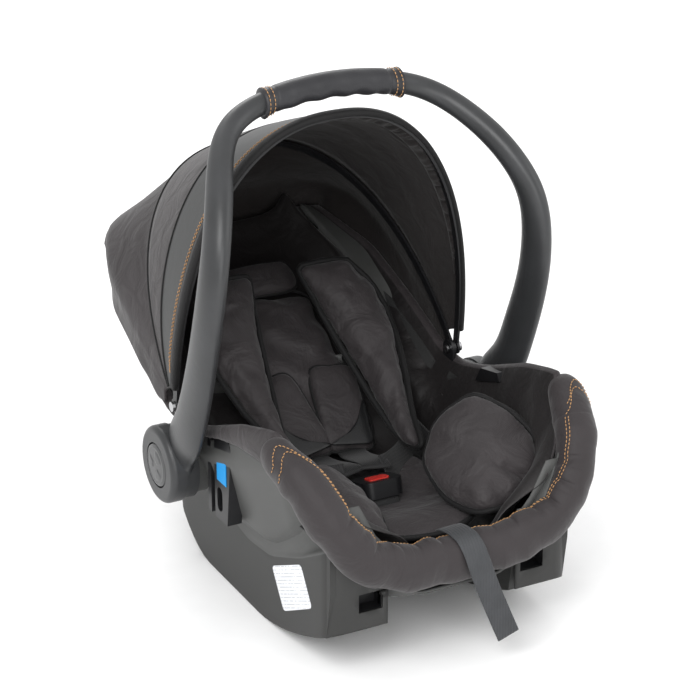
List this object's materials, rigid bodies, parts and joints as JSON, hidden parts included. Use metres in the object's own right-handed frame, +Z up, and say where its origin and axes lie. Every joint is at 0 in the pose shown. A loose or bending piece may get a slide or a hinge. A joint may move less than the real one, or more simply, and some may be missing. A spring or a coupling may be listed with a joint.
{
  "type": "infant car seat",
  "caption": "Rocker-bottomed infant carrier seat with an arched carry handle pivoting on side hubs, a folding hooped canopy, padded cover and buckled harness.",
  "frame": {"origin": "on the ground under the middle of the footprint, with the rocker standing on its flat", "axes": "+Z up, +Y from the foot end to the head end, +X to the right of someone facing the head end"},
  "size_m": [0.452, 0.6651, 0.5986],
  "materials": {
    "shell_plastic": "moulded, fine grain",
    "base_plastic": "moulded, fine grain",
    "liner_foam": "moulded foam beads",
    "handle_plastic": "satin moulded",
    "button_plastic": null,
    "steel": "zinc plated",
    "grip_leatherette": "soft grained leatherette with tan stitching",
    "black_plastic": "satin moulded",
    "outer_fabric": "fine twill polyester, faint brown cast",
    "lining_fabric": "smooth polyester satin",
    "pad_fabric": "fine twill polyester",
    "webbing": "woven polyester webbing",
    "adjuster_webbing": "ribbed woven webbing",
    "red_plastic": "gloss",
    "blue_plastic": "satin",
    "label_film": "matte film, plain lines only"
  },
  "bodies": {
    "shell": {"adjuster_housing": "black_plastic", "adjuster_pin": "steel", "adjuster_strap": "adjuster_webbing", "base_screws": "steel", "body_pad": "pad_fabric", "buckle_housing": "black_plastic", "buckle_spring": "steel", "canopy_rear_panel": "outer_fabric", "cover_roll": "outer_fabric", "crotch_pad": "pad_fabric", "crotch_strap": "webbing", "foam_liner": "liner_foam", "left_belt_guide": "black_plastic", "left_belt_marker": "blue_plastic", "left_buckle_tongue": "steel", "left_canopy_bracket": "black_plastic", "left_canopy_pin": "steel", "left_cover_flap": "outer_fabric", "left_hip_bolster": "pad_fabric", "left_hub_base": "shell_plastic", "left_hub_pin": "steel", "left_label": "label_film", "left_lap_strap": "webbing", "left_shoulder_pad": "pad_fabric", "left_shoulder_strap": "webbing", "left_side_bolster": "pad_fabric", "pillow_tab": "pad_fabric", "right_belt_guide": "black_plastic", "right_belt_marker": "blue_plastic", "right_buckle_tongue": "steel", "right_canopy_bracket": "black_plastic", "right_canopy_pin": "steel", "right_cover_flap": "outer_fabric", "right_hip_bolster": "pad_fabric", "right_hub_base": "shell_plastic", "right_hub_pin": "steel", "right_lap_strap": "webbing", "right_shoulder_pad": "pad_fabric", "right_shoulder_strap": "webbing", "right_side_bolster": "pad_fabric", "rocker_base": "base_plastic", "seat_cover": "lining_fabric", "seat_pad": "pad_fabric", "seat_shell": "shell_plastic", "yoke_plate": "steel"},
    "handle": {"handle_bar": "handle_plastic", "grip_sleeve": "grip_leatherette", "left_hub_cap": "handle_plastic", "right_hub_cap": "handle_plastic", "left_release_spring": "steel", "right_release_spring": "steel"},
    "left_release": {"left_release_button": "button_plastic"},
    "right_release": {"right_release_button": "button_plastic"},
    "mid_hoop": {"canopy_mid_hoop": "black_plastic"},
    "front_hoop": {"canopy_front_hoop": "black_plastic", "canopy_front_panel": "outer_fabric"},
    "buckle_release": {"buckle_button": "red_plastic"},
    "adjuster_release": {"adjuster_lever": "black_plastic"}
  },
  "joints": [
    {"name": "handle_swing", "type": "hinge", "parent": "shell", "child": "handle", "pos_m": [0, 0.02, 0.152], "axis": [1, 0, 0], "range_deg": [-105, 0]},
    {"name": "left_release_press", "type": "slide", "parent": "handle", "child": "left_release", "axis": [1, 0, 0], "range_m": [0, 0.005], "stiffness_N_per_m": 600, "springref_m": -0.003, "deforming": ["left_release_spring"]},
    {"name": "right_release_press", "type": "slide", "parent": "handle", "child": "right_release", "axis": [-1, 0, 0], "range_m": [0, 0.005], "stiffness_N_per_m": 600, "springref_m": -0.003, "deforming": ["right_release_spring"]},
    {"name": "canopy_mid_fold", "type": "hinge", "parent": "shell", "child": "mid_hoop", "pos_m": [0, 0.04, 0.212], "axis": [1, 0, 0], "range_deg": [-17, 0], "deforming": ["canopy_rear_panel"]},
    {"name": "canopy_front_fold", "type": "hinge", "parent": "mid_hoop", "child": "front_hoop", "pos_m": [0, 0.04, 0.212], "axis": [1, 0, 0], "range_deg": [-51, 0], "deforming": ["canopy_front_panel"]},
    {"name": "buckle_press", "type": "slide", "parent": "shell", "child": "buckle_release", "axis": [0, -0.2756, -0.9613], "range_m": [0, 0.003], "stiffness_N_per_m": 500, "springref_m": -0.002, "deforming": ["buckle_spring"]},
    {"name": "adjuster_press", "type": "hinge", "parent": "shell", "child": "adjuster_release", "pos_m": [0, -0.231, 0.098], "axis": [1, 0, 0], "range_deg": [0, 14], "stiffness_Nm_per_rad": 0.12, "springref_deg": -11.46}
  ],
  "couplings": [
    {"joint": "canopy_mid_fold", "follows": "canopy_front_fold", "ratio": 0.3333}
  ]
}
